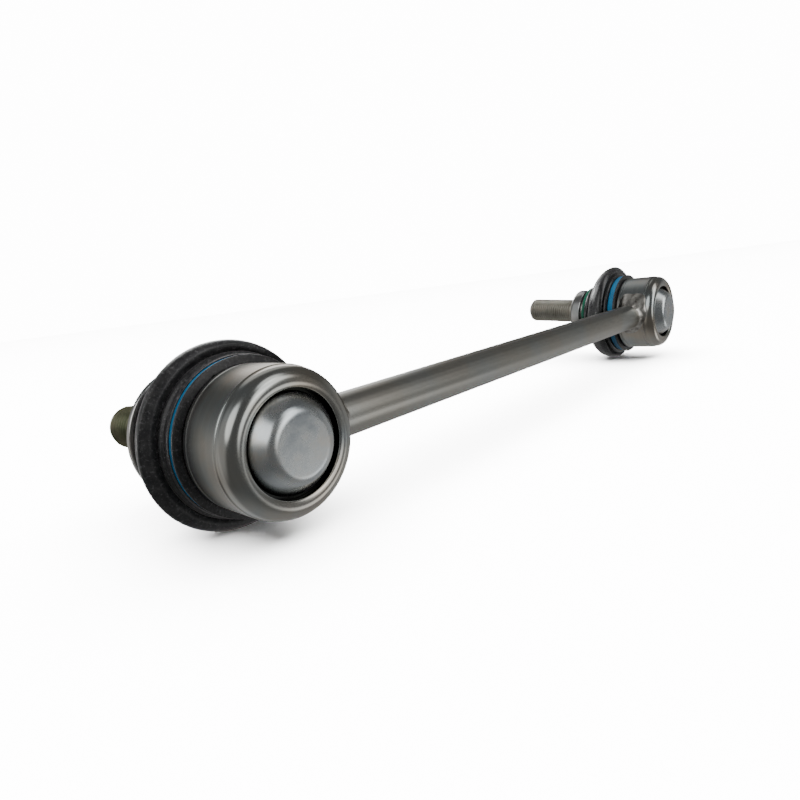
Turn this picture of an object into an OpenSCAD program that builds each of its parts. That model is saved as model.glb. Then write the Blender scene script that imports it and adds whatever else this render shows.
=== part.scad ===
// Stabilizer link: a steel rod with a ball joint welded to each end.
// Each joint has a housing with a rolled rim, a pressed end cap, a polymer ball seat,
// a threaded ball stud and a rubber dust boot held by a wide band and a narrow ring.
// Millimetres. X runs along the rod, Y along the studs, Z is up as the link lies flat.
// The origin is the centre of the nut seat on the strut end stud.

/* [Link] */
// distance between the axes of the two ball joints
link_length = 225; // [150:1:320]
// diameter of the rod
rod_diameter = 11.4; // [9:0.1:12]
// how far the weld bead reaches along the rod
weld_reach = 3.2; // [2:0.1:5]
// height of the weld bead over the rod
weld_height = 1.9; // [1:0.1:2.5]

/* [Housing] */
// outside radius of the housing barrel
housing_radius = 17.2; // [16.2:0.1:18.5]
// step from the barrel in to the rolled rim
rim_step = 0.3; // [0.1:0.1:0.8]
// front of the rolled rim, measured from the rod axis
rim_front = 10.4; // [9.8:0.1:11]
// rounding of the outer edge of the rim
rim_round = 3.6; // [2.5:0.1:3.8]
// radius of the opening inside the rim
rim_opening = 12.2; // [11.6:0.1:12.6]
// upper end of the barrel, measured from the rod axis
barrel_top = 6.6; // [6.2:0.1:7]
// height of the housing mouth over the rod axis
mouth_height = 12.5; // [12:0.1:13]

/* [Ball joint] */
// radius of the ball
ball_radius = 8.5; // [7.8:0.1:8.8]
// height of the ball centre over the rod axis
ball_height = 2; // [1.6:0.1:2.4]
// running clearance between ball and seat
ball_clearance = 0.05; // [0.02:0.01:0.1]
// radius of the stud neck
neck_radius = 4.6; // [4:0.1:4.8]
// wall of the polymer seat round the ball
seat_wall = 5.05; // [4.8:0.05:5.2]
// lean of the bar end stud, tip away from the rod
bar_end_lean = 7; // [0:0.5:9]
// lean of the strut end stud, tip upwards
strut_end_lean = 4.5; // [0:0.5:6]

/* [Stud] */
// outside diameter of the thread
thread_diameter = 12; // [10:1:12]
// stud tip, measured from the rod axis
stud_reach = 61.1; // [52:0.1:70]
// nut seat, measured from the rod axis
seat_height = 34; // [33.4:0.1:36]
// radius of the collar under the nut seat
collar_radius = 10.9; // [10:0.1:11.4]
// radius of the wide flange on the bar end stud
bar_flange_radius = 16.8; // [15:0.1:18]
// rear face of the wide flange, measured from the rod axis
bar_flange_rear = 29.2; // [29:0.1:29.6]
// thickness of the wide flange
flange_thickness = 1.5; // [1.2:0.1:2]
// rear face of the collar, measured from the rod axis
collar_rear = 28.7; // [28.2:0.1:28.8]
// radius of the polished band that the boot seals on
boot_land_radius = 8.2; // [7.6:0.1:8.6]
// radius of the turning centre in the stud tip
centre_radius = 1.6; // [1:0.1:2.2]

/* [Boot] */
// largest outside radius of the boot
boot_radius = 22.9; // [22:0.1:24]
// height of the widest place over the rod axis
boot_crest = 14; // [13.8:0.1:14.4]
// radius of the bulge on the stud side
bulge_round = 6.8; // [6.6:0.1:7]
// wall of the boot
boot_wall = 1.8; // [1.4:0.1:2]
// radius of the lip on the housing end
lip_radius = 19; // [18.4:0.1:20]
// width of the band behind that lip
band_width = 2.5; // [1.8:0.1:2.6]
// outside radius of that band
band_radius = 18.66; // [18:0.1:19]
// width of the ring on the stud end
ring_width = 1.3; // [0.8:0.1:1.5]
// outside radius of that ring
ring_radius = 12.4; // [12.2:0.1:12.8]

/* [Hidden] */
$fn = 96;
// gap round the boot where it grips metal
grip_gap = 0.06;
rod_radius = rod_diameter / 2;
thread_radius = thread_diameter / 2;
end_gap = 0.35;
cut_over = 0.01;
cut_margin = 1;

// weld bead
weld_depth = 3;
weld_toe = 0.4;
weld_tip = 0.2;

// rim and end cap
rim_radius = housing_radius - rim_step;
rim_shoulder = 0.7;
rim_lip_round = 1.15;
rim_lip_radius = rim_opening + rim_lip_round;
plate_front = -rim_front + 2 * rim_lip_round;
plate_thickness = 1.4;
cap_fit = 0.08;
cap_face_radius = 6.2;
cap_face_round = 8.2;
cap_edge_round = 1.8;
cap_edge_angle = 30;
cap_rise = 2.8;
cap_wall = 1.2;

// seat bore and mouth
seat_lift = 0.05;
seat_wrap = 4;
seat_low = plate_front + plate_thickness + seat_lift;
seat_top = ball_height + seat_wrap;
seat_radius = ball_radius + ball_clearance + seat_wall;
seat_hole_radius = 5;
bore_clearance = 0.05;
bore_radius = seat_radius + bore_clearance;
throat_radius = 8.4;
mouth_radius = 11.4;
groove_radius = 14.6;
mouth_bead_radius = 15.3;
mouth_bead_width = 1.2;
edge_break = 0.4;
line_height = 4.8;
line_width = 0.4;
line_depth = 0.3;

// stud
ball_flat = 6.2;
neck_fillet = 6;
neck_length = 11;
neck_top = ball_height + neck_length;
collar_straight = 3.3;
flange_round = 0.5;
tip_chamfer = 1.6;

// boot, from the housing end to the stud end
boot_low = barrel_top + end_gap;
boot_inner = groove_radius + grip_gap;
lip_width = 0.75;
lip_round = 0.3;
band_seat_radius = 17.2;
band_gap = 0.1;
band_low = boot_low + lip_width + band_gap;
band_top = band_low + band_width;
ridge_round = 1;
ridge_radius = 19;
ridge_height = band_top + 3 * band_gap + ridge_round;
groove_rise = 1.05;
groove_out = 0.6;
crest_round = 2.4;
fold_lift = 0.3;
bead_gap = 0.4;
bead_side_gap = 0.9;
bead_room = mouth_bead_radius + bead_side_gap;
bead_low = mouth_height - mouth_bead_width - end_gap;
land_inner = boot_land_radius + grip_gap;
web_lift = 0.1;
web_under = boot_crest + bulge_round - boot_wall + web_lift;
fold_radius = 12.7;
fold_width = 1;
fold_rise = 0.5;
boot_lip_round = 1.1;
boot_lip_radius = 12.5;
boot_lip_height = 23.9;
bar_lip_radius = 14.7;
bar_lip_height = 26.2;
bar_lip_inner = 13;
bar_lip_foot = 24.4;
ring_seat_radius = 11.6;
ring_seat_gap = 0.15;
ring_gap = 0.35;
ring_low = boot_lip_height + boot_lip_round + ring_gap;
ring_edge_share = 0.3;
sleeve_over = 0.25;
boot_top = ring_low + ring_width + sleeve_over;
bend_over = 2.2;
bend_from = bead_low;
bend_to = boot_crest + bend_over;
boot_steps = 48;

// node to draw

bar_end_x = -link_length;
strut_end_x = 0;

// place of the rod axis, seen from the nut seat of the leaning strut end stud
ball_to_seat = seat_height - ball_height;
rod_y = -ball_height - ball_to_seat * cos(strut_end_lean);
rod_z = -ball_to_seat * sin(strut_end_lean);
// directions of lean round the joint axis
away_from_rod = 0;
upwards = 90;

// places a shape drawn round the local Z axis on a joint axis
module at_end(x) {
    translate([x, rod_y, rod_z])
        rotate([-90, 0, 0])
            children();
}

// turns a shape about the ball centre, tip in the given direction
module leaned(angle, direction) {
    translate([0, 0, ball_height])
        rotate([0, 0, direction])
            rotate([0, -angle, 0])
                translate([0, 0, -ball_height])
                    children();
}

// rectangle between two radii and two heights, for turned profiles
module band_area(inner, outer, low, high) {
    translate([inner, low])
        square([outer - inner, high - low]);
}

// solid cylinder along the rod between two x positions
module along_rod(from_x, to_x, radius) {
    translate([from_x, rod_y, rod_z])
        rotate([0, 90, 0])
            cylinder(h = to_x - from_x, r = radius);
}

// outside of a housing barrel, used to saddle the rod and the welds on it
module barrel_cutter(x) {
    at_end(x)
        translate([0, 0, -rim_front])
            cylinder(h = rim_front + mouth_height, r = housing_radius);
}

// room over the barrel that belongs to the boot
module boot_room(x) {
    at_end(x)
        translate([0, 0, barrel_top])
            cylinder(h = mouth_height, r = boot_radius);
}

module rod_shape() {
    difference() {
        along_rod(bar_end_x, strut_end_x, rod_radius);
        barrel_cutter(bar_end_x);
        barrel_cutter(strut_end_x);
    }
}

// bead of weld round the rod end, side is 1 where the rod leaves towards +X
module weld_shape(x, side) {
    foot = rod_radius + weld_height;
    reach = housing_radius + weld_reach;
    difference() {
        translate([x, rod_y, rod_z])
            rotate([0, 90 * side, 0])
                rotate_extrude()
                    difference() {
                        band_area(rod_radius, foot, housing_radius - weld_depth, reach);
                        translate([foot + weld_toe, reach + weld_tip])
                            circle(r = weld_height);
                    }
        barrel_cutter(x);
        boot_room(x);
    }
}

module housing_shape() {
    rotate_extrude() {
        difference() {
            union() {
                band_area(0, housing_radius, rim_round - rim_front + rim_shoulder, barrel_top - edge_break);
                band_area(0, housing_radius - edge_break, 0, barrel_top);
                band_area(0, rim_radius, rim_round - rim_front, 0);
                band_area(0, rim_radius - rim_round, -rim_front, 0);
                translate([rim_radius - rim_round, rim_round - rim_front])
                    circle(r = rim_round);
                band_area(0, groove_radius, 0, mouth_height);
                band_area(0, mouth_bead_radius, mouth_height - mouth_bead_width, mouth_height);
            }
            band_area(0, bore_radius, plate_front, seat_top + seat_lift);
            band_area(0, rim_lip_radius, -rim_front - cut_margin, plate_front + cut_margin);
            translate([housing_radius - line_depth, line_height])
                square([line_depth + cut_margin, line_width]);
            polygon([
                [0, seat_top],
                [throat_radius, seat_top],
                [mouth_radius, mouth_height + cut_over],
                [0, mouth_height + cut_over]
            ]);
        }
        translate([rim_lip_radius, -rim_front + rim_lip_round])
            circle(r = rim_lip_round);
    }
}

// points on an arc of a turned profile, from one angle to the other
function arc(centre, radius, from_angle, to_angle, steps) = [
    for (i = [0 : steps])
        let (a = from_angle + (to_angle - from_angle) * i / steps)
            centre + radius * [cos(a), sin(a)]
];

// outside of the cap from its centre to the plate: flat face, wide shoulder, round edge
function cap_outside(inset) =
    let (
        top = plate_front - cap_rise + inset,
        shoulder = [cap_face_radius, top + cap_face_round - inset],
        turned = [sin(cap_edge_angle), -cos(cap_edge_angle)],
        edge = shoulder + (cap_face_round - cap_edge_round) * turned
    )
        concat(
            [[0, top]],
            arc(shoulder, cap_face_round - inset, -90, cap_edge_angle - 90, 4),
            arc(edge, cap_edge_round - inset, cap_edge_angle - 90, 0, 4)
        );

function reversed(list) = [for (i = [len(list) - 1 : -1 : 0]) list[i]];

// pressed steel cap: clamped plate and a raised centre with a wide round shoulder
module cap_shape() {
    back = plate_front + plate_thickness;
    outside = cap_outside(0);
    inside = cap_outside(cap_wall);
    wall_radius = outside[len(outside) - 1][0];
    inner_radius = inside[len(inside) - 1][0];
    rotate_extrude()
        polygon(concat(
            outside,
            [
                [wall_radius, plate_front],
                [bore_radius - cap_fit, plate_front],
                [bore_radius - cap_fit, back],
                [inner_radius, back]
            ],
            reversed(inside)
        ));
}

// polymer shell that holds the ball past its widest place, open at the bottom
module ball_seat_shape() {
    rotate_extrude()
        difference() {
            band_area(0, seat_radius, seat_low, seat_top);
            translate([0, ball_height])
                circle(r = ball_radius + ball_clearance);
            band_area(0, seat_hole_radius, seat_low - cut_margin, ball_height);
        }
}

// wide flange with both edges rounded
module flange_profile(radius) {
    band_area(0, radius - flange_round, 0, flange_thickness);
    band_area(0, radius, flange_round, flange_thickness - flange_round);
    translate([radius - flange_round, flange_round])
        circle(r = flange_round);
    translate([radius - flange_round, flange_thickness - flange_round])
        circle(r = flange_round);
}

// ball, waisted neck, boot land, collar and shank, turned in one piece
module stud_profile(flange_radius, flange_rear) {
    collar_round = seat_height - collar_rear - collar_straight;
    collar_edge = seat_height - collar_round;
    intersection() {
        translate([0, ball_height])
            circle(r = ball_radius);
        band_area(0, ball_radius, ball_height - ball_flat, seat_height);
    }
    band_area(0, neck_radius, ball_height, neck_top + neck_fillet);
    difference() {
        band_area(0, boot_land_radius, neck_top, collar_rear);
        translate([neck_radius + neck_fillet, neck_top])
            circle(r = neck_fillet);
    }
    band_area(0, collar_radius, collar_rear, collar_edge);
    band_area(0, collar_radius - collar_round, collar_rear, seat_height);
    translate([collar_radius - collar_round, collar_edge])
        intersection() {
            circle(r = collar_round);
            square(collar_round);
        }
    if (flange_radius > collar_radius)
        translate([0, flange_rear])
            flange_profile(flange_radius);
    polygon([
        [0, seat_height],
        [thread_radius, seat_height],
        [thread_radius, stud_reach - tip_chamfer],
        [thread_radius - tip_chamfer, stud_reach],
        [centre_radius, stud_reach],
        [0, stud_reach - centre_radius]
    ]);
}

module ball_stud_shape(flange_radius, flange_rear) {
    rotate_extrude()
        stud_profile(flange_radius, flange_rear);
}

// housing end of the boot: lip, band seat, ridge and the near side of the crest
function boot_base() = concat(
    [[boot_inner, boot_low]],
    arc([lip_radius - lip_round, boot_low + lip_round], lip_round, -90, 0, 2),
    arc([lip_radius - lip_round, boot_low + lip_width - lip_round], lip_round, 0, 90, 2),
    [
        [band_seat_radius, boot_low + lip_width],
        [band_seat_radius, band_top + band_gap]
    ],
    arc([ridge_radius, ridge_height], ridge_round, -90, 30, 4),
    [[ridge_radius + groove_out, ridge_height + groove_rise]],
    arc([boot_radius - crest_round, boot_crest], crest_round, -60, -10, 4)
);

// stud end of a boot that shows a narrow lip below its ring
function boot_narrow_end() = concat(
    arc([boot_lip_radius, boot_lip_height], boot_lip_round, -75, 80, 6),
    [[ring_seat_radius, boot_lip_height + boot_lip_round + ring_seat_gap]]
);

// stud end of a boot that spreads a wide lip under the flange, round its ring
function boot_wide_end() = concat(
    [[fold_radius, bar_lip_foot]],
    arc([bar_lip_radius, bar_lip_height], boot_lip_round, -80, 90, 6),
    [
        [bar_lip_inner, bar_lip_height + boot_lip_round],
        [bar_lip_inner, boot_lip_height + boot_lip_round + ring_seat_gap],
        [ring_seat_radius, boot_lip_height + boot_lip_round + ring_seat_gap]
    ]
);

// outside of the boot from the housing end to the stud end
function boot_outside(wide) = concat(
    boot_base(),
    arc([boot_radius - bulge_round, boot_crest], bulge_round, 0, 80, 9),
    [
        [fold_radius + fold_width, web_under + boot_wall],
        [fold_radius, web_under + boot_wall + fold_rise]
    ],
    wide ? boot_wide_end() : boot_narrow_end(),
    [
        [ring_seat_radius, boot_top],
        [land_inner, boot_top]
    ]
);

// inside of the boot from the stud end back to the housing end
function boot_inside() = concat(
    [
        [land_inner, web_under],
        [boot_radius - bulge_round - fold_width, web_under]
    ],
    arc([boot_radius - bulge_round, boot_crest], bulge_round - boot_wall, 75, 0, 6),
    [
        [lip_radius, boot_crest + fold_lift],
        [band_seat_radius, boot_crest],
        [bead_room, mouth_height + bead_gap],
        [bead_room, bead_low],
        [boot_inner, bead_low]
    ]
);

function boot_profile(wide) = concat(boot_outside(wide), boot_inside());

// share of the lean that the boot takes at a height
function bend_share(z) =
    let (t = min(1, max(0, (z - bend_from) / (bend_to - bend_from))))
        t * t * (3 - 2 * t);

// a boot point turned about the ball centre by its share of the lean
function bent(p, turn, lean) =
    let (
        a = lean * bend_share(p[1]),
        x = p[0] * cos(turn),
        h = p[1] - ball_height
    )
        [x * cos(a) - h * sin(a), p[0] * sin(turn), ball_height + x * sin(a) + h * cos(a)];

// two triangles between a pair of neighbouring rows and columns of boot points
function boot_faces(rows, turns) = [
    for (j = [0 : turns - 1])
        for (i = [0 : rows - 1])
            for (half = [0, 1])
                let (
                    a = j * rows + i,
                    b = j * rows + (i + 1) % rows,
                    c = ((j + 1) % turns) * rows + (i + 1) % rows,
                    d = ((j + 1) % turns) * rows + i
                )
                    half == 0 ? [a, b, c] : [a, c, d]
];

// dust boot, turned when the stud is straight and bent when it leans
module boot_shape(lean, wide) {
    profile = boot_profile(wide);
    if (lean == 0)
        rotate_extrude()
            polygon(profile);
    else
        polyhedron(
            points = [
                for (j = [0 : boot_steps - 1])
                    for (p = profile)
                        bent(p, 360 * j / boot_steps, lean)
            ],
            faces = boot_faces(len(profile), boot_steps)
        );
}

// rounded ring with a flat inside
module ring_shape(inner, outer, low, width) {
    edge = min(width, outer - inner) * ring_edge_share;
    rotate_extrude() {
        band_area(inner, outer - edge, low, low + width);
        band_area(inner, outer, low + edge, low + width - edge);
        translate([outer - edge, low + edge])
            circle(r = edge);
        translate([outer - edge, low + width - edge])
            circle(r = edge);
    }
}

module boot_band_shape() {
    ring_shape(band_seat_radius + grip_gap, band_radius, band_low, band_width);
}

module boot_ring_shape() {
    ring_shape(ring_seat_radius + grip_gap, ring_radius, ring_low, ring_width);
}

module link_rod() {
    color([0.52, 0.52, 0.5])
        rod_shape();
}

module bar_end_housing() {
    color([0.6, 0.6, 0.58])
        at_end(bar_end_x)
            housing_shape();
}

module strut_end_housing() {
    color([0.6, 0.6, 0.58])
        at_end(strut_end_x)
            housing_shape();
}

module bar_end_weld() {
    color([0.42, 0.42, 0.42])
        weld_shape(bar_end_x, 1);
}

module strut_end_weld() {
    color([0.42, 0.42, 0.42])
        weld_shape(strut_end_x, -1);
}

module bar_end_cap() {
    color([0.66, 0.68, 0.7])
        at_end(bar_end_x)
            cap_shape();
}

module strut_end_cap() {
    color([0.66, 0.68, 0.7])
        at_end(strut_end_x)
            cap_shape();
}

module bar_end_ball_seat() {
    color([0.9, 0.9, 0.86])
        at_end(bar_end_x)
            ball_seat_shape();
}

module strut_end_ball_seat() {
    color([0.9, 0.9, 0.86])
        at_end(strut_end_x)
            ball_seat_shape();
}

module bar_end_ball_stud() {
    color([0.5, 0.52, 0.38])
        at_end(bar_end_x)
            leaned(bar_end_lean, away_from_rod)
                ball_stud_shape(bar_flange_radius, bar_flange_rear);
}

module strut_end_ball_stud() {
    color([0.5, 0.52, 0.38])
        at_end(strut_end_x)
            leaned(strut_end_lean, upwards)
                ball_stud_shape(collar_radius, collar_rear);
}

module bar_end_boot() {
    color([0.08, 0.08, 0.08])
        at_end(bar_end_x)
            rotate([0, 0, away_from_rod])
                boot_shape(bar_end_lean, true);
}

module strut_end_boot() {
    color([0.08, 0.08, 0.08])
        at_end(strut_end_x)
            rotate([0, 0, upwards])
                boot_shape(strut_end_lean, false);
}

module bar_end_boot_band() {
    color([0.1, 0.38, 0.55])
        at_end(bar_end_x)
            boot_band_shape();
}

module strut_end_boot_band() {
    color([0.1, 0.38, 0.55])
        at_end(strut_end_x)
            boot_band_shape();
}

module bar_end_boot_ring() {
    color([0.05, 0.4, 0.28])
        at_end(bar_end_x)
            leaned(bar_end_lean, away_from_rod)
                boot_ring_shape();
}

module strut_end_boot_ring() {
    color([0.05, 0.4, 0.28])
        at_end(strut_end_x)
            leaned(strut_end_lean, upwards)
                boot_ring_shape();
}

link_rod();
bar_end_housing();
strut_end_housing();
bar_end_weld();
strut_end_weld();
bar_end_cap();
strut_end_cap();
bar_end_ball_seat();
strut_end_ball_seat();
bar_end_ball_stud();
strut_end_ball_stud();
bar_end_boot();
strut_end_boot();
bar_end_boot_band();
strut_end_boot_band();
bar_end_boot_ring();
strut_end_boot_ring();
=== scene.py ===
import math

import bmesh
import bpy
from mathutils import Euler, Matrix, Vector, noise


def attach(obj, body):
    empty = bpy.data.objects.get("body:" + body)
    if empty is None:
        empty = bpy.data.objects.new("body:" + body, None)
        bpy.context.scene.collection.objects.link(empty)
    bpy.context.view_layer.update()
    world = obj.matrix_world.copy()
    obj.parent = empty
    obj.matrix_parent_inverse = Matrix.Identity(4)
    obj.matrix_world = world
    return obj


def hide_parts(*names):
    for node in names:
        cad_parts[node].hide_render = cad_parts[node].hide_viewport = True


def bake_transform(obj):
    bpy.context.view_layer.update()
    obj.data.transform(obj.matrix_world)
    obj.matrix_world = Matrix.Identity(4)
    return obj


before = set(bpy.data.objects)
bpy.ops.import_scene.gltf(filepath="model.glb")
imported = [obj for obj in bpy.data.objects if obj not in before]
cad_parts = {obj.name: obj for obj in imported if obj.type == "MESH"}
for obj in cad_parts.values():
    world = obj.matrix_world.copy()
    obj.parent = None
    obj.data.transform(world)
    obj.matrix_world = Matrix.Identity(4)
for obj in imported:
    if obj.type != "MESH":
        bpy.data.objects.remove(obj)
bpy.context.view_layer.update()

# Sizes in millimetres. Heights run along a joint axis from the rod axis, outlines are (radius, height).
MM = 0.001
LINK_LENGTH = 225.0
ROD_RADIUS = 5.7
ROD_SINK = 0.3
BALL_HEIGHT = 2.0
SEAT_HEIGHT = 34.0
END_X = {"bar": -LINK_LENGTH, "strut": 0.0}
ROD_SIDE = {"bar": 1.0, "strut": -1.0}
END_LEAN = {"bar": 7.0, "strut": 4.5}
LEAN_TOWARD = {"bar": (-1.0, 0.0), "strut": (0.0, 1.0)}
ROD_Y = -BALL_HEIGHT - (SEAT_HEIGHT - BALL_HEIGHT) * math.cos(math.radians(END_LEAN["strut"]))
ROD_Z = -(SEAT_HEIGHT - BALL_HEIGHT) * math.sin(math.radians(END_LEAN["strut"]))

# Cap
CAP_FACE_RADIUS = 6.4
CAP_FACE_EDGE = 0.4
CAP_SHOULDER = -9.7
CAP_SHOULDER_ROUND = 3.2
CAP_FLANK_SLOPE = 50.0
CAP_FOOT_RADIUS = 11.3
CAP_NECK_RADIUS = 11.5
CAP_PLATE_RADIUS = 13.57
CAP_PLATE = (-8.1, -6.7)
CAP_INSIDE = [(9.9, CAP_PLATE[1]), (10.2, CAP_PLATE[0]), (8.0, -11.0), (6.4, -11.6), (0.0, -11.7)]
# Heights over which painted shade fades in at the cap's foot, down in the gap under the rim lip.
CAP_SHADE_SPAN = (-9.1, -8.5)

# Housing: barrel with a turned line, mouth under the boot, bore and rolled rim
BARREL_RADIUS = 17.2
BARREL_SPAN = (-5.8, 4.6)
BARREL_EDGE = 6.1
BARREL_TOP = 6.6
BARREL_ROUND = 0.4
LINE_HEIGHT = 5.0
LINE_CUT = [(0.0, -0.28), (0.15, -0.2), (0.3, -0.1), (0.3, 0.1), (0.15, 0.2), (0.0, 0.28)]
MOUTH_RADIUS = 14.6
MOUTH_HOLE = 11.4
MOUTH_BEAD = [(15.2, 11.3), (15.3, 11.42), (15.3, 12.35), (15.15, 12.5)]
BORE_RADIUS = 13.65
BORE_TOP = 6.05
BORE_HOLE = 8.4
RIM_RADIUS = 16.9
RIM_FRONT = -10.4
RIM_ROUND = 3.3
RIM_LIP_ANGLE = 247.0
RIM_LIP_ROUND = 0.3
RIM_LIP_WALL = -9.2
RIM_LIP_CHAMFER = 0.2
RIM_STEP = [(16.92, -6.5), (17.02, -6.32), (17.14, -6.18), (17.19, -6.0)]
RIM_STEP_HEIGHT = -6.1
# Painted shade on the housing: full in the gap inside the rim lip round the cap, from this depth past the
# lip, and a lighter share on the top edge under the boot, from this height.
LIP_SHADE_DEPTH = 0.45
TOP_SHADE = 0.35
TOP_SHADE_FROM = 6.15

# Stud
BALL_RADIUS = 8.5
BALL_FLAT = -4.2
BALL_ARC = (-46.8, 57.2)
NECK_RADIUS = 4.6
NECK_SPAN = (10.0, 13.0)
NECK_ROUND = 6.0
NECK_ROUND_END = 113.6
LAND_RADIUS = 8.2
COLLAR_REAR = 28.7
COLLAR_RADIUS = 10.9
COLLAR_EDGE = 0.4
COLLAR_ROUND = 2.0
FLANGE_RADIUS = 16.8
FLANGE_SPAN = (29.2, 30.7)
FLANGE_EDGE = 0.5
SHANK_SINK = 0.1
THREAD_RADIUS = 6.0
THREAD_PITCH = 1.25
THREAD_DEPTH = 0.6
THREAD_FLANK = (0.04, 0.44)
THREAD_RUN_OUT = (1.2, 2.7)
THREAD_STEPS = 12
STUD_REACH = 61.1
TIP_CHAMFER = 1.6
TIP_SLOPE = 0.6
CENTRE_RADIUS = 1.6

# Boot, band and ring
BOOT_RADIUS = 22.9
BOOT_CREST = 14.0
BULGE_ROUND = 6.8
CREST_ROUND = 2.4
BOOT_WALL = 1.8
BOOT_BORE = 14.66
BOOT_FOOT_TOP = 10.95
BOOT_BEND = (BOOT_FOOT_TOP, 16.2)
BOOT_LIP_RADIUS = 19.2
BOOT_LIP_ROUND = 0.3
BOOT_LIP_SPAN = (6.95, 7.7)
BAND_SEAT = 17.2
BAND_EASE = 0.05
BAND_SPAN = (7.8, 10.3)
BAND_RADII = {"bar": (17.26, 19.03), "strut": (17.26, 18.66)}
BAND_EDGE = 0.4
RING_SPAN = (25.35, 26.65)
RING_RADII = (11.66, 12.4)
RING_EDGE = 0.3
FLOOR_SINK = 0.3

# Mesh fineness: steps round an axis, and the spacing of points on straight runs
TURN_STEPS = 192
BARREL_STEPS = 256
SHANK_STEPS = 96
WIDE_STEP = 1.0
FINE_STEP = 0.3


def world_point(end, x, up, height):
    """Metres in the part frame from millimetres along the rod, up and along the joint axis."""
    return ((END_X[end] + x) * MM, (height + ROD_Y) * MM, (up + ROD_Z) * MM)


def lean_point(end, x, up, height, degrees):
    """Turns a point about the ball centre towards the side that the stud leans to."""
    dx, dy = LEAN_TOWARD[end]
    a = math.radians(degrees)
    along, h = x * dx + up * dy, height - BALL_HEIGHT
    shift = along * math.cos(a) + h * math.sin(a) - along
    return x + shift * dx, up + shift * dy, BALL_HEIGHT + h * math.cos(a) - along * math.sin(a)


def share(value, low, high):
    """How far a value lies on the way from low to high, from 0 to 1."""
    return min(1.0, max(0.0, (value - low) / (high - low)))


def full_lean(end, height):
    """Lean of the stud, the same at every height."""
    return END_LEAN[end]


def boot_lean(end, height):
    """Lean of the boot at a height: none at the housing, all of it at the stud."""
    t = share(height, *BOOT_BEND)
    return END_LEAN[end] * t * t * (3 - 2 * t)


def arc(centre, radius, start, stop, steps):
    """Points on an arc of a turned profile, angles in degrees."""
    angles = [math.radians(start + (stop - start) * i / steps) for i in range(steps + 1)]
    return [(centre[0] + radius * math.cos(a), centre[1] + radius * math.sin(a)) for a in angles]


def dense(start, stop, spacing):
    """Evenly spaced points along a straight run of a profile."""
    count = max(1, round(math.dist(start, stop) / spacing))
    return [tuple(a + (b - a) * i / count for a, b in zip(start, stop)) for i in range(count + 1)]


def make_object(name, verts, faces, sharp):
    """Closed smooth mesh, with edges sharper than an angle in degrees kept hard."""
    mesh = bpy.data.meshes.new(name)
    mesh.from_pydata(verts, [], faces)
    bm = bmesh.new()
    bm.from_mesh(mesh)
    bmesh.ops.remove_doubles(bm, verts=bm.verts, dist=1e-7)
    bmesh.ops.recalc_face_normals(bm, faces=bm.faces)
    bm.to_mesh(mesh)
    bm.free()
    mesh.shade_smooth()
    mesh.set_sharp_from_angle(angle=math.radians(sharp))
    obj = bpy.data.objects.new(name, mesh)
    bpy.context.scene.collection.objects.link(obj)
    return obj


def grid_faces(columns, rows, closed_rows):
    """Faces of a grid whose columns run round an axis."""
    faces = []
    for j in range(columns):
        k = (j + 1) % columns
        for i in range(rows if closed_rows else rows - 1):
            n = (i + 1) % rows
            faces.append((j * rows + i, j * rows + n, k * rows + n, k * rows + i))
    return faces


def mark_painted_shade(obj, end, shade_at):
    """Marks how much painted shade each point gets, from its radius and height on a joint axis."""
    marks = obj.data.attributes.new("painted_shade", "FLOAT", "POINT")
    for point, vertex in zip(marks.data, obj.data.vertices):
        x, z = vertex.co.x / MM - END_X[end], vertex.co.z / MM - ROD_Z
        point.value = shade_at(math.hypot(x, z), vertex.co.y / MM - ROD_Y)


def turned(name, end, profile, lean=None, reshape=None, closed=True, steps=TURN_STEPS, sharp=35.0):
    """Turns a profile of (radius, height) points round a joint axis."""
    verts = []
    for j in range(steps):
        phi = 2 * math.pi * j / steps
        for r, h in profile:
            if reshape:
                r, h = reshape(r, h, phi)
            point = (r * math.cos(phi), r * math.sin(phi), h)
            if lean:
                point = lean_point(end, *point, lean(end, h))
            verts.append(world_point(end, *point))
    return make_object(name, verts, grid_faces(steps, len(profile), closed), sharp)


# Materials


# Near-black tone of the painted shade in the marked recesses and under the boot.
PAINTED_SHADE_TONE = (0.06, 0.06, 0.055)
RIM_EDGE = (ROD_Y + RIM_STEP_HEIGHT) * MM
RIM_FADE = 0.5 * MM


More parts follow.
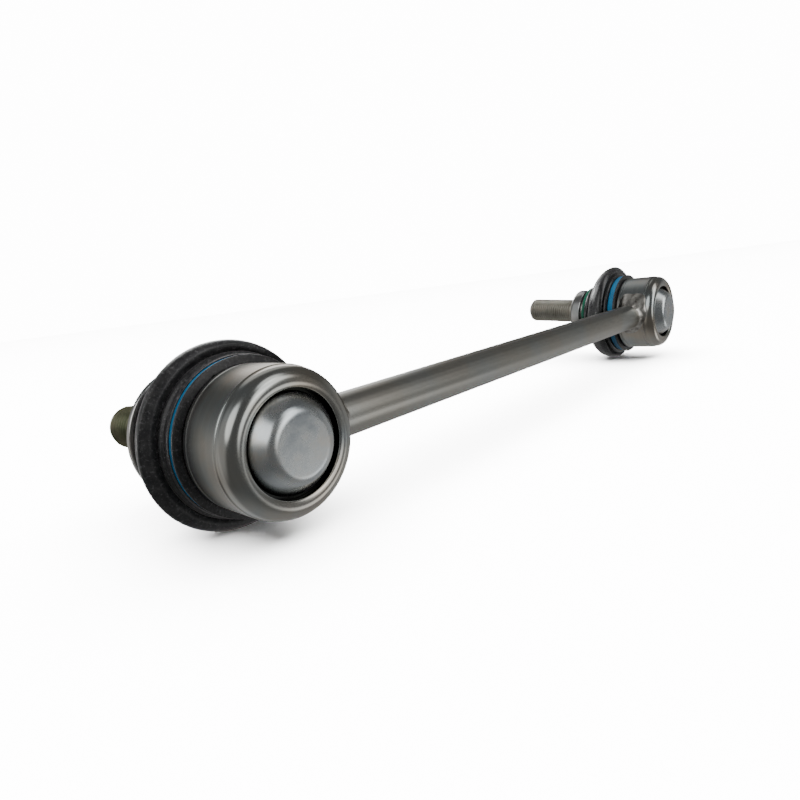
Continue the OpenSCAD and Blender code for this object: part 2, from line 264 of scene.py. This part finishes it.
class Shader:
    """A node material under construction, with short helpers for the usual nodes."""

    def __init__(self, name, roughness=0.4, metallic=0.0, specular=0.5):
        self.mat = bpy.data.materials.new(name)
        self.mat.use_nodes = True
        self.nodes = self.mat.node_tree.nodes
        self.links = self.mat.node_tree.links
        self.bsdf = self.nodes["Principled BSDF"]
        self.bsdf.inputs["Roughness"].default_value = roughness
        self.bsdf.inputs["Metallic"].default_value = metallic
        self.bsdf.inputs["Specular IOR Level"].default_value = specular
        self.coords = self.nodes.new("ShaderNodeTexCoord").outputs["Object"]

    def noise(self, scale, detail=4.0, rough=0.55, stretch=(1, 1, 1)):
        mapping = self.nodes.new("ShaderNodeMapping")
        mapping.inputs["Scale"].default_value = stretch
        self.links.new(self.coords, mapping.inputs["Vector"])
        node = self.nodes.new("ShaderNodeTexNoise")
        node.inputs["Scale"].default_value = scale
        node.inputs["Detail"].default_value = detail
        node.inputs["Roughness"].default_value = rough
        self.links.new(mapping.outputs["Vector"], node.inputs["Vector"])
        return node.outputs["Fac"]

    def ramp(self, source, stops):
        node = self.nodes.new("ShaderNodeValToRGB")
        elements = node.color_ramp.elements
        while len(elements) < len(stops):
            elements.new(0.5)
        for element, (place, colour) in zip(elements, stops):
            element.position = place
            element.color = (*colour, 1.0)
        self.links.new(source, node.inputs["Fac"])
        return node.outputs["Color"]

    def levels(self, source, low_in, high_in, low_out, high_out):
        node = self.nodes.new("ShaderNodeMapRange")
        limits = {"From Min": low_in, "From Max": high_in, "To Min": low_out, "To Max": high_out}
        for name, value in limits.items():
            node.inputs[name].default_value = value
        self.links.new(source, node.inputs["Value"])
        return node.outputs["Result"]

    def blend(self, mode, a, b):
        """Mix of two colours. The node's sockets share names, so they are told apart by number."""
        node = self.nodes.new("ShaderNodeMix")
        node.data_type = "RGBA"
        node.blend_type = mode
        node.inputs[0].default_value = 1.0
        self.links.new(a, node.inputs[6])
        self.links.new(b, node.inputs[7])
        return node.outputs[2]

    def along_stud(self):
        node = self.nodes.new("ShaderNodeSeparateXYZ")
        self.links.new(self.coords, node.inputs["Vector"])
        return node.outputs["Y"]

    def add(self, a, b):
        node = self.nodes.new("ShaderNodeMath")
        self.links.new(a, node.inputs[0])
        self.links.new(b, node.inputs[1])
        return node.outputs["Value"]

    def bump(self, heights, strength, distance=0.0001):
        normal = None
        for height in heights:
            node = self.nodes.new("ShaderNodeBump")
            node.inputs["Strength"].default_value = strength
            node.inputs["Distance"].default_value = distance
            self.links.new(height, node.inputs["Height"])
            if normal:
                self.links.new(normal, node.inputs["Normal"])
            normal = node.outputs["Normal"]
        self.links.new(normal, self.bsdf.inputs["Normal"])

    def colour(self, source):
        self.links.new(source, self.bsdf.inputs["Base Color"])

    def darken_painted_shade(self, source):
        """Darkens a colour with painted shade where the mesh is marked for it."""
        marks = self.nodes.new("ShaderNodeAttribute")
        marks.attribute_name = "painted_shade"
        shade = self.ramp(marks.outputs["Fac"], [(0.0, (1.0, 1.0, 1.0)), (0.6, PAINTED_SHADE_TONE)])
        return self.blend("MULTIPLY", source, shade)

    def roughness(self, source):
        self.links.new(source, self.bsdf.inputs["Roughness"])


def steel_material(name, stretch, colours, rough, depth, satin=0.0):
    """Bare oiled steel with tool marks along one direction, faint tints and a satin barrel."""
    s = Shader(name, metallic=1.0)
    cool, base, warm = colours
    tint = s.ramp(s.noise(60, detail=3, rough=0.5), [(0.36, cool), (0.5, base), (0.64, warm)])
    marks = s.noise(60, detail=5, rough=0.6, stretch=stretch)
    shade = s.ramp(marks, [(0.25, (0.86, 0.86, 0.86)), (0.75, (1.0, 1.0, 1.0))])
    # Painted shade darkens the colour where the mesh is marked.
    s.colour(s.darken_painted_shade(s.blend("MULTIPLY", tint, shade)))
    dull = s.levels(s.along_stud(), RIM_EDGE - RIM_FADE, RIM_EDGE + RIM_FADE, 0.0, satin)
    s.roughness(s.add(s.levels(marks, 0.25, 0.75, *rough), dull))
    s.bump([marks, s.noise(900, detail=3, rough=0.6)], depth)
    return s.mat


def rubber_material(name, dusty, rough):
    """Moulded black rubber with a bloom of dust."""
    s = Shader(name, specular=0.5)
    s.bsdf.inputs["Sheen Weight"].default_value = 0.15
    s.bsdf.inputs["Sheen Roughness"].default_value = 0.4
    dust = s.noise(420, detail=6, rough=0.7)
    specks = s.noise(1500, detail=3, rough=0.6)
    base = s.ramp(dust, [(0.42, (0.012, 0.012, 0.013)), (0.7, (0.03, 0.03, 0.03))])
    grains = s.ramp(specks, [(0.56, (0.0, 0.0, 0.0)), (0.74, (dusty, dusty, dusty))])
    s.colour(s.blend("ADD", base, grains))
    s.roughness(s.levels(dust, 0.3, 0.7, *rough))
    s.bump([dust, specks], 0.3, 0.00015)
    return s.mat


def coat_material(name, dark, light):
    """Satin coat that is worn darker in patches."""
    s = Shader(name, specular=0.4)
    wear = s.noise(160, detail=4, rough=0.6)
    s.colour(s.ramp(wear, [(0.35, dark), (0.65, light)]))
    s.roughness(s.levels(wear, 0.3, 0.7, 0.34, 0.5))
    s.bump([s.noise(700, detail=3, rough=0.6)], 0.15)
    return s.mat


def cloudy_metal(name, stops, clouds, rough, grain, depth, metallic=1.0):
    """Plated or fused metal whose colour and gloss drift in clouds."""
    s = Shader(name, metallic=metallic)
    drift = s.noise(clouds, detail=5, rough=0.62)
    # Painted shade darkens the colour where the mesh is marked.
    s.colour(s.darken_painted_shade(s.ramp(drift, stops)))
    s.roughness(s.levels(drift, 0.3, 0.7, *rough))
    s.bump([s.noise(grain, detail=4, rough=0.6)], depth)
    return s.mat


def seat_material():
    s = Shader("seat_polymer", roughness=0.5)
    mottle = s.noise(90, detail=3, rough=0.5)
    s.colour(s.ramp(mottle, [(0.3, (0.72, 0.71, 0.66)), (0.7, (0.8, 0.79, 0.74))]))
    return s.mat


STEEL = ((0.37, 0.4, 0.4), (0.42, 0.42, 0.39), (0.45, 0.41, 0.35))
DRAWN = ((0.41, 0.42, 0.4), (0.42, 0.42, 0.385), (0.43, 0.415, 0.37))
POLISH = ((0.56, 0.58, 0.58), (0.62, 0.61, 0.59), (0.64, 0.6, 0.55))
ZINC = [(0.34, (0.46, 0.5, 0.53)), (0.52, (0.57, 0.6, 0.6)), (0.7, (0.6, 0.58, 0.53))]
OLIVE = [(0.35, (0.12, 0.135, 0.08)), (0.55, (0.18, 0.18, 0.115)), (0.7, (0.21, 0.195, 0.135))]
GREY = [(0.35, (0.33, 0.32, 0.27)), (0.55, (0.42, 0.41, 0.36)), (0.7, (0.47, 0.44, 0.38))]
FUSED = [(0.32, (0.16, 0.15, 0.13)), (0.5, (0.4, 0.39, 0.36)), (0.72, (0.54, 0.53, 0.5))]
ALONG_ROD = (0.06, 14, 14)
ROUND_BARREL = (0.5, 9, 0.5)
ROUND_FLANGE = (0.5, 10, 0.5)
THREAD_LOOK = {"clouds": 140, "rough": (0.36, 0.5), "grain": 1600, "depth": 0.15, "metallic": 0.88}
MATERIALS = {
    "rod": steel_material("rod_steel", ALONG_ROD, DRAWN, rough=(0.26, 0.4), depth=0.1),
    "housing": steel_material(
        "housing_steel", ROUND_BARREL, STEEL, rough=(0.15, 0.23), depth=0.04, satin=0.12,
    ),
    "polished": steel_material("flange_steel", ROUND_FLANGE, POLISH, rough=(0.14, 0.24), depth=0.05),
    "cap": cloudy_metal("cap_zinc", ZINC, clouds=130, rough=(0.22, 0.32), grain=420, depth=0.1),
    "weld": cloudy_metal("weld_metal", FUSED, clouds=300, rough=(0.4, 0.26), grain=350, depth=0.3),
    "bar_thread": cloudy_metal("stud_olive", OLIVE, **THREAD_LOOK),
    "strut_thread": cloudy_metal("stud_grey", GREY, **THREAD_LOOK),
    "bar_rubber": rubber_material("boot_rubber_dusty", dusty=0.07, rough=(0.26, 0.46)),
    "strut_rubber": rubber_material("boot_rubber_clean", dusty=0.02, rough=(0.16, 0.28)),
    "blue": coat_material("band_blue", dark=(0.008, 0.095, 0.2), light=(0.014, 0.145, 0.28)),
    "green": coat_material("ring_green", dark=(0.003, 0.075, 0.04), light=(0.005, 0.11, 0.06)),
    "seat": seat_material(),
}


def dress(obj, material, slot, body, *nodes):
    """Gives a piece its material, the nodes it stands for and its body; the slot argument is not used."""
    obj.data.materials.append(MATERIALS[material])
    if nodes:
        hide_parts(*nodes)
    if body:
        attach(obj, body)
    return obj


# Metal pieces


def make_housing(end):
    """Turned barrel: rolled rim, turned line, round top edge, beaded mouth and bore."""
    plate = CAP_PLATE[0]
    low, high = BARREL_SPAN
    rim = (RIM_RADIUS - RIM_ROUND, RIM_FRONT + RIM_ROUND)
    lip = arc(rim, RIM_ROUND - RIM_LIP_ROUND, RIM_LIP_ANGLE, RIM_LIP_ANGLE, 1)[0]
    opening = lip[0] - RIM_LIP_ROUND
    profile = (
        [(opening + RIM_LIP_CHAMFER, plate), (opening, plate - RIM_LIP_CHAMFER), (opening, RIM_LIP_WALL)]
        + arc(lip, RIM_LIP_ROUND, 180, RIM_LIP_ANGLE, 6)
        + arc(rim, RIM_ROUND, RIM_LIP_ANGLE, 360, 36)[1:]
        + RIM_STEP
        + dense((BARREL_RADIUS, low), (BARREL_RADIUS, high), WIDE_STEP)
        + [(BARREL_RADIUS - depth, LINE_HEIGHT + rise) for depth, rise in LINE_CUT]
        + [(BARREL_RADIUS, BARREL_EDGE)]
        + arc((BARREL_RADIUS - BARREL_ROUND, BARREL_TOP - BARREL_ROUND), BARREL_ROUND, 0, 90, 5)
        + [(MOUTH_RADIUS, BARREL_TOP), (MOUTH_RADIUS, MOUTH_BEAD[0][1])]
        + MOUTH_BEAD
        + [(MOUTH_HOLE, MOUTH_BEAD[-1][1]), (BORE_HOLE, BORE_TOP)]
        + [(BORE_RADIUS, BORE_TOP), (BORE_RADIUS, plate)]
    )

    # Painted shade: full in the gap inside the rim lip, lighter on the top edge in the boot's shadow.
    def shade_at(r, h):
        if r < lip[0] and lip[1] + LIP_SHADE_DEPTH < h < 0:
            return 1.0
        return TOP_SHADE if h > TOP_SHADE_FROM else 0.0

    obj = turned(end + "_end_housing_turned", end, profile, steps=BARREL_STEPS)
    mark_painted_shade(obj, end, shade_at)
    dress(obj, "housing", "housing_steel", "link", end + "_end_housing")


def make_cap(end):
    """Pressed cap: flat face, round shoulder, steep flank and the plate under the rim."""
    front, back = CAP_PLATE
    face = CAP_SHOULDER - CAP_SHOULDER_ROUND
    shoulder = arc((CAP_FACE_RADIUS, CAP_SHOULDER), CAP_SHOULDER_ROUND, -90, CAP_FLANK_SLOPE - 90, 20)
    top = shoulder[-1]
    rise = (CAP_FOOT_RADIUS - top[0]) * math.tan(math.radians(CAP_FLANK_SLOPE))
    profile = (
        dense((0.0, face), (CAP_FACE_RADIUS - CAP_FACE_EDGE, face), WIDE_STEP)
        + shoulder
        + dense(top, (CAP_FOOT_RADIUS, top[1] + rise), FINE_STEP)[1:]
        + [(CAP_NECK_RADIUS, front), (CAP_PLATE_RADIUS, front), (CAP_PLATE_RADIUS, back)]
        + CAP_INSIDE
    )
    obj = turned(end + "_end_cap_pressed", end, profile, closed=False)
    # Painted shade on the cap's foot, in the gap under the rim lip.
    mark_painted_shade(obj, end, lambda r, h: share(h, *CAP_SHADE_SPAN))
    dress(obj, "cap", "cap_steel", "link", end + "_end_cap")


def make_rod():
    """Drawn bar between the barrels, sunk a little into each."""
    steps, rings = 96, 60
    foot = math.sqrt(BARREL_RADIUS ** 2 - ROD_RADIUS ** 2) - ROD_SINK
    verts = []
    for j in range(steps):
        a = 2 * math.pi * j / steps
        for i in range(rings + 1):
            x = foot + (LINK_LENGTH - 2 * foot) * i / rings
            verts.append(world_point("bar", x, ROD_RADIUS * math.sin(a), ROD_RADIUS * math.cos(a)))
    faces = grid_faces(steps, rings + 1, False)
    faces += [tuple(range(i, len(verts), rings + 1)) for i in (0, rings)]
    dress(make_object("link_rod_drawn", verts, faces, 35), "rod", "rod_steel", "link", "link_rod")


# Lobes of the weld beads: angle round the rod from the stud side upwards, width, extra spread.
WELD_LOBES = {
    "bar": [(95, 24, 2.0), (150, 18, 0.8), (-85, 32, 2.4)],
    "strut": [(118, 26, 4.5), (74, 22, 3.9), (165, 18, 1.0), (-85, 35, 1.6)],
}
WELD_SPREAD = 1.6
WELD_REACH = 3.0
WELD_REACH_GAIN = 0.25
WELD_TOP = BARREL_TOP - 0.1
WELD_FLARE = 1.4
ROD_LAP = 0.12
BARREL_LAP = 0.15

# How hollow the bead is, how much less so on a wide lobe, and the spread of such a lobe.
WELD_HOLLOW = 1.5
HOLLOW_LOSS = 0.8
WIDE_LOBE = 4.0

# Wavering of the bead's edges, as depth and scale, and lumps, as height and scale round and along it.
SPREAD_WAVE = (0.12, 2.2)
REACH_WAVE = (0.3, 2.9)
WAVE_SHIFT = 3.0
LUMP_HEIGHT = 0.16
LUMP_ROUND = 4.0
LUMP_ALONG = 3.0


def weld_spread(end, angle):
    """How far the bead spreads from the rod at an angle, in degrees."""
    spread = WELD_SPREAD
    for centre, width, extra in WELD_LOBES[end]:
        off = (angle - centre + 180) % 360 - 180
        spread += extra * math.exp(-(off / width) ** 2)
    return spread


def wave(spot, depth, scale):
    """Factor that wavers about 1 from place to place."""
    return 1 + depth * noise.noise(spot * scale)


def make_weld(end):
    """Bead of weld that runs from the rod down onto the round of the barrel."""
    steps, rows = 180, 18
    side = ROD_SIDE[end]
    verts = []
    for j in range(steps):
        a = 2 * math.pi * j / steps
        ring = Vector((math.cos(a), math.sin(a), side * WAVE_SHIFT))
        spread = weld_spread(end, math.degrees(a)) * wave(ring, *SPREAD_WAVE)
        extra = spread - WELD_SPREAD
        reach = WELD_REACH * wave(ring, *REACH_WAVE) + WELD_REACH_GAIN * extra
        hollow = WELD_HOLLOW - HOLLOW_LOSS * share(extra, 0.0, WIDE_LOBE)
        for i in range(rows):
            t = i / (rows - 1)
            spot = Vector((math.cos(a) * LUMP_ROUND, math.sin(a) * LUMP_ROUND, t * LUMP_ALONG + side))
            lump = LUMP_HEIGHT * noise.noise(spot)
            radius = ROD_RADIUS - ROD_LAP + spread * (1 - t) ** hollow + lump * math.sin(math.pi * t)
            up, along = radius * math.sin(a), min(radius * math.cos(a), WELD_TOP)
            x = math.sqrt(BARREL_RADIUS ** 2 - up ** 2) - BARREL_LAP + reach * t ** WELD_FLARE
            verts.append(world_point(end, side * x, up, along))
    obj = make_object(end + "_end_weld_bead", verts, grid_faces(steps, rows, False), 60)
    dress(obj, "weld", "weld_steel", "link", end + "_end_weld")


def stud_profile(end):
    """Ball, neck, boot land and collar up to the nut seat."""
    ball = arc((0.0, BALL_HEIGHT), BALL_RADIUS, *BALL_ARC, 24)
    low, high = NECK_SPAN
    neck = (
        [(NECK_RADIUS, low), (NECK_RADIUS, high)]
        + arc((NECK_RADIUS + NECK_ROUND, high), NECK_ROUND, 180, NECK_ROUND_END, 8)
    )
    edge = (COLLAR_RADIUS - COLLAR_EDGE, COLLAR_REAR + COLLAR_EDGE)
    rear = [(LAND_RADIUS, COLLAR_REAR)] + arc(edge, COLLAR_EDGE, 270, 360, 5)
    flange = []
    if end == "bar":
        low, high = FLANGE_SPAN
        flange = (
            [(COLLAR_RADIUS, low)]
            + arc((FLANGE_RADIUS - FLANGE_EDGE, low + FLANGE_EDGE), FLANGE_EDGE, 270, 360, 6)
            + arc((FLANGE_RADIUS - FLANGE_EDGE, high - FLANGE_EDGE), FLANGE_EDGE, 0, 90, 6)
            + [(COLLAR_RADIUS, high)]
        )
    front = arc((COLLAR_RADIUS - COLLAR_ROUND, SEAT_HEIGHT - COLLAR_ROUND), COLLAR_ROUND, 0, 90, 12)
    seat = [(THREAD_RADIUS - THREAD_DEPTH, SEAT_HEIGHT), (0.0, SEAT_HEIGHT)]
    return [(0.0, BALL_FLAT)] + ball + neck + rear + flange + front + seat


def thread_cut(r, h, phi):
    """Pulls a shank point in to the thread groove and the rounded tip."""
    if r < THREAD_RADIUS:
        return r, h
    turn = (h / THREAD_PITCH - phi / (2 * math.pi)) % 1.0
    groove = THREAD_DEPTH * share(abs(turn - 0.5), *THREAD_FLANK)
    run_out = share(h - SEAT_HEIGHT, *THREAD_RUN_OUT)
    shrink = max(0.0, TIP_CHAMFER - (STUD_REACH - h))
    tip = shrink * (TIP_SLOPE + (1 - TIP_SLOPE) * shrink / TIP_CHAMFER)
    return THREAD_RADIUS - groove * run_out - tip, h


def make_stud(end):
    """Forged stud up to its nut seat, and the threaded shank beyond it."""
    forging = turned(end + "_end_stud_forging", end, stud_profile(end), full_lean, closed=False)
    dress(forging, "polished", "stud_steel", end + "_stud", end + "_end_ball_stud")
    low = SEAT_HEIGHT - SHANK_SINK
    count = round((STUD_REACH - low) / THREAD_PITCH * THREAD_STEPS)
    shank = [(THREAD_RADIUS, low + (STUD_REACH - low) * i / count) for i in range(count + 1)]
    end_face = [(CENTRE_RADIUS, STUD_REACH), (0.0, STUD_REACH - CENTRE_RADIUS)]
    thread = turned(
        end + "_end_stud_thread", end, [(0.0, low)] + shank + end_face, full_lean, thread_cut,
        closed=False, steps=SHANK_STEPS, sharp=50,
    )
    dress(thread, end + "_thread", "stud_steel", end + "_stud", end + "_end_ball_stud")


def make_seat(end):
    """The hidden seat keeps its CAD mesh and only gets its material."""
    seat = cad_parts[end + "_end_ball_seat"].data
    seat.materials.clear()
    seat.materials.append(MATERIALS["seat"])


# Rubber boots and their rings


# Rubber behind the bands: at the bar end it laps over most of the band.
BAND_BACK = {
    "bar": [(19.08, 10.35), (19.08, 8.85), (19.2, 8.75), (19.34, 8.9), (19.4, 9.6), (19.3, 10.3)],
    "strut": [(17.4, 10.5), (18.9, 10.55)],
}

# Outlines of the housing half: the ridge, the fold behind it and the inside.
RIDGE = (19.0, 11.6)
RIDGE_ROUND = 1.0
FOLD = [(19.68, 12.35), (19.62, 12.6), (19.75, 12.72), (20.1, 12.6), (20.7, 12.2)]
BASE_INSIDE = [(19.0, 14.3), (17.2, 14.0), (16.2, 12.9), (16.2, BOOT_FOOT_TOP), (BOOT_BORE, BOOT_FOOT_TOP)]


def boot_base_profile(end):
    """Housing half of the boot: lip, band seat, ridge, fold and the near side of the crest."""
    low, high = BOOT_LIP_SPAN
    lip = BOOT_LIP_RADIUS - BOOT_LIP_ROUND
    outside = (
        [(BOOT_BORE, low)]
        + arc((lip, low + BOOT_LIP_ROUND), BOOT_LIP_ROUND, -90, 0, 4)
        + arc((lip, high - BOOT_LIP_ROUND), BOOT_LIP_ROUND, 0, 90, 4)
        + [(BAND_SEAT + 2 * BAND_EASE, high), (BAND_SEAT, BAND_SPAN[0])]
        + [(BAND_SEAT, BAND_SPAN[1] + BAND_EASE)]
        + BAND_BACK[end]
        + arc(RIDGE, RIDGE_ROUND, -60, 30, 8)
        + FOLD
        + arc((BOOT_RADIUS - CREST_ROUND, BOOT_CREST), CREST_ROUND, -62, -2, 12)
        + [(BOOT_RADIUS, BOOT_CREST)]
    )
    return outside + [(BOOT_RADIUS - BOOT_WALL, BOOT_CREST)] + BASE_INSIDE


# Stud ends of the two boots: the bar end spreads a wide lip under the flange.
BOOT_STUD_END = {
    "bar": [(12.7, 21.5), (12.7, 24.2), (12.9, 24.6), (13.6, 24.9)]
    + arc((14.7, 26.2), 1.1, -80, 90, 12)
    + [(13.2, 27.3), (13.0, 27.1), (13.0, 25.15), (11.6, 25.15)],
    "strut": [(12.75, 21.3), (12.62, 21.8), (12.62, 22.5)]
    + arc((12.5, 23.9), 1.1, -75, 80, 12)
    + [(11.7, 25.1), (11.6, 25.2)],
}

# Outlines of the stud half: the web inside the bulge, and the sleeve on the stud.
WEB = [(15.2, 20.86), (14.0, 20.9), (13.2, 21.0)]
SLEEVE_TOP = [(11.6, 26.8), (11.5, 26.9), (8.4, 26.9), (8.26, 26.75)]
SLEEVE_FOOT = [(8.26, 19.2), (8.36, 19.1), (15.1, 19.1)]


def boot_crown_profile(end):
    """Stud half of the boot: the bulge, the web and the sleeve that grips the stud."""
    centre = (BOOT_RADIUS - BULGE_ROUND, BOOT_CREST)
    outside = [(BOOT_RADIUS, BOOT_CREST)] + arc(centre, BULGE_ROUND, 1, 80, 28) + WEB
    inside = arc(centre, BULGE_ROUND - BOOT_WALL, 75, 0, 16)
    return outside + BOOT_STUD_END[end] + SLEEVE_TOP + SLEEVE_FOOT + inside


def rest_on_floor(r, h, phi):
    """Presses the underside of a boot flat where it lies on the floor."""
    lowest = BOOT_RADIUS - FLOOR_SINK
    if r * math.sin(phi) < -lowest:
        r = lowest / abs(math.sin(phi))
    return r, h


def boot_axis_point(end, height):
    """Point of the bent boot's axis at a height."""
    return world_point(end, *lean_point(end, 0.0, 0.0, height, boot_lean(end, height)))


BOOT_HALVES = []


def make_boot(end):
    """Boot in two halves, bent by a lean that grows from the housing towards the stud."""
    base = turned(end + "_end_boot_base", end, boot_base_profile(end), boot_lean, rest_on_floor, sharp=60)
    crown = turned(end + "_end_boot_crown", end, boot_crown_profile(end), boot_lean, rest_on_floor, sharp=60)
    for half in (base, crown):
        dress(half, end + "_rubber", "boot_rubber", None, end + "_end_boot")
        BOOT_HALVES.append(half)
    boot_axis_point(end, BOOT_BEND[0])
    boot_axis_point(end, BOOT_CREST - 0.2)
    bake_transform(base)
    boot_axis_point(end, BOOT_CREST + 0.2)
    boot_axis_point(end, 19.0)
    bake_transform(crown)


def ring_profile(radii, span, edge):
    """Flat ring with its outer edges rounded."""
    inner, outer = radii
    low, high = span
    return (
        [(inner, low)]
        + arc((outer - edge, low + edge), edge, -90, 0, 5)
        + arc((outer - edge, high - edge), edge, 0, 90, 5)
        + [(inner, high)]
    )


def make_rings(end):
    """Blue band round the housing end of the boot, green ring round its stud end."""
    band = turned(end + "_end_band_coated", end, ring_profile(BAND_RADII[end], BAND_SPAN, BAND_EDGE))
    dress(band, "blue", "band_blue", "link", end + "_end_boot_band")
    ring = turned(end + "_end_ring_coated", end, ring_profile(RING_RADII, RING_SPAN, RING_EDGE), full_lean)
    dress(ring, "green", "ring_green", end + "_ring", end + "_end_boot_ring")


# Stage, in metres

FLOOR_LEVEL = (ROD_Z - BOOT_RADIUS + FLOOR_SINK) * MM
FLOOR_HALF = 3.0
FLOOR_WHITE = 0.9
BACKDROP_AWAY = 2.4
BACKDROP_HALF = 4.0
BACKDROP_HEIGHT = 3.0
BACKDROP_SUNK = 0.3
WHITE_LEVEL = 14.0
MIDDLE = (-LINK_LENGTH * MM / 2, 0.0, 0.0)
BAR_BOOT = (-LINK_LENGTH * MM, -0.018, 0.0)
STRUT_BOOT = (0.0, -0.018, 0.0)

# Camera fitted to the photo
CAMERA_PLACE = (-0.293567, -0.142181, 0.028818)
CAMERA_TURN = (78.0567, 7.1664, -47.4716)
CAMERA_LENS = 25.733
SENSOR_WIDTH = 36.0
CLIP_START = 0.01
VIEW_ALONG = Vector((0.7035, 0.6803, 0.0)).normalized()
VIEW_ACROSS = Vector((VIEW_ALONG.y, -VIEW_ALONG.x, 0.0))

# Soft boxes of the room: direction, angle of the bright middle, angle where it ends, level.
SOFT_BOXES = [
    ((0.55, 0.78, 0.33), 8, 20, 1.8),
    ((0.4, 0.6, 0.69), 16, 28, 0.6),
    ((0.25, -0.96, 0.08), 8, 18, 1.8),
    ((0.36, -0.83, 0.42), 9, 20, 2.4),
    ((0.3, -0.6, 0.74), 8, 18, 1.6),
    ((-0.76, -0.33, 0.56), 16, 26, 1.8),
    ((0.6, -0.66, -0.46), 6, 14, 1.4),
    ((0.66, -0.72, -0.235), 14, 28, 0.07),
    ((-0.3, 0.82, -0.42), 22, 45, 0.26),
    ((-0.93, 0.34, 0.2), 20, 50, 0.32),
    ((0.95, -0.1, -0.25), 15, 35, 0.22),
    ((0.3, 0.1, -1.0), 10, 70, 0.24),
]
ROOM_LEVEL = 0.14


def make_world():
    """Dim room with a few soft boxes."""
    world = bpy.data.worlds.new("studio")
    world.use_nodes = True
    nodes, links = world.node_tree.nodes, world.node_tree.links
    direction = nodes.new("ShaderNodeTexCoord").outputs["Generated"]
    total = None
    for aim, inner, outer, level in SOFT_BOXES:
        dot = nodes.new("ShaderNodeVectorMath")
        dot.operation = "DOT_PRODUCT"
        dot.inputs[1].default_value = Vector(aim).normalized()
        links.new(direction, dot.inputs[0])
        fade = nodes.new("ShaderNodeMapRange")
        fade.interpolation_type = "SMOOTHSTEP"
        fade.inputs["From Min"].default_value = math.cos(math.radians(outer))
        fade.inputs["From Max"].default_value = math.cos(math.radians(inner))
        fade.inputs["To Max"].default_value = level
        links.new(dot.outputs["Value"], fade.inputs["Value"])
        add = nodes.new("ShaderNodeMath")
        add.inputs[1].default_value = ROOM_LEVEL
        links.new(fade.outputs["Result"], add.inputs[0])
        if total:
            links.new(total, add.inputs[1])
        total = add.outputs["Value"]
    links.new(total, nodes["Background"].inputs["Strength"])
    nodes["Background"].inputs["Color"].default_value = (1.0, 1.0, 1.0, 1.0)
    bpy.context.scene.world = world


def stage_sheet(name, corners, material):
    """Sheet of the set that the camera sees and the part neither mirrors nor is lit by."""
    mesh = bpy.data.meshes.new(name)
    mesh.from_pydata(corners, [], [(0, 1, 2, 3)])
    mesh.materials.append(material)
    sheet = bpy.data.objects.new(name, mesh)
    sheet.visible_glossy = False
    sheet.visible_diffuse = False
    bpy.context.scene.collection.objects.link(sheet)
    return sheet


def make_floor():
    s = Shader("stage_white", roughness=0.9, specular=0.0)
    mottle = s.noise(3, detail=2, rough=0.5)
    s.colour(s.ramp(mottle, [(0.3, (0.89, 0.89, 0.89)), (0.7, (FLOOR_WHITE, FLOOR_WHITE, FLOOR_WHITE))]))
    sides = ((-1, -1), (1, -1), (1, 1), (-1, 1))
    corners = [(x * FLOOR_HALF, y * FLOOR_HALF, FLOOR_LEVEL) for x, y in sides]
    return stage_sheet("studio_floor", corners, s.mat)


def make_backdrop():
    """Glowing sheet behind the part, square to the view."""
    s = Shader("stage_glow", roughness=0.9, specular=0.0)
    mottle = s.noise(2, detail=2, rough=0.5)
    glow = s.ramp(mottle, [(0.3, (0.99, 0.99, 0.99)), (0.7, (1.0, 1.0, 1.0))])
    s.links.new(glow, s.bsdf.inputs["Emission Color"])
    s.bsdf.inputs["Emission Strength"].default_value = WHITE_LEVEL
    foot = VIEW_ALONG * BACKDROP_AWAY - Vector((0.0, 0.0, BACKDROP_SUNK))
    left, right = foot - VIEW_ACROSS * BACKDROP_HALF, foot + VIEW_ACROSS * BACKDROP_HALF
    lift = Vector((0.0, 0.0, BACKDROP_HEIGHT))
    return stage_sheet("studio_backdrop", [left, right, right + lift, left + lift], s.mat)


def add_light(name, kind, place, power, size, receivers=(), aim=MIDDLE, mirrored=False):
    """Light aimed at a place of the link, on all objects or on some, mirrored in them or not."""
    data = bpy.data.lights.new(name, kind)
    data.energy = power
    if kind == "SUN":
        data.angle = math.radians(size)
    else:
        data.size = size
    obj = bpy.data.objects.new(name, data)
    obj.location = place
    obj.rotation_euler = (Vector(aim) - Vector(place)).to_track_quat("-Z", "Y").to_euler()
    obj.visible_glossy = mirrored
    bpy.context.scene.collection.objects.link(obj)
    if receivers:
        only = bpy.data.collections.new(name + "_receivers")
        for receiver in receivers:
            only.objects.link(receiver)
        obj.light_linking.receiver_collection = only


def make_camera():
    data = bpy.data.cameras.new("photo_view")
    data.sensor_width = SENSOR_WIDTH
    data.lens = CAMERA_LENS
    data.clip_start = CLIP_START
    camera = bpy.data.objects.new("photo_view", data)
    camera.location = CAMERA_PLACE
    camera.rotation_euler = Euler([math.radians(a) for a in CAMERA_TURN], "XYZ")
    bpy.context.scene.collection.objects.link(camera)
    bpy.context.scene.camera = camera


def make_stage():
    make_camera()
    make_world()
    floor = make_floor()
    make_backdrop()
    floor_power = WHITE_LEVEL * math.pi / FLOOR_WHITE
    add_light("floor_sky", "SUN", (0.1, -0.1, 2.0), floor_power, 100, [floor])
    add_light("part_key", "AREA", (-0.3, 0.35, 0.9), 12.0, 0.6)
    add_light("boot_top", "AREA", (-0.1, 0.35, 0.32), 1.2, 0.3, BOOT_HALVES, BAR_BOOT, True)
    add_light("boot_side", "AREA", (-0.5, 0.17, 0.01), 0.25, 0.08, BOOT_HALVES, BAR_BOOT, True)
    add_light("boot_far", "AREA", (0.1, 0.4, 0.2), 0.5, 0.12, BOOT_HALVES, STRUT_BOOT, True)


def main():
    make_rod()
    for end in END_X:
        make_housing(end)
        make_cap(end)
        make_weld(end)
        make_stud(end)
        make_boot(end)
        make_rings(end)
        make_seat(end)
    make_stage()


main()
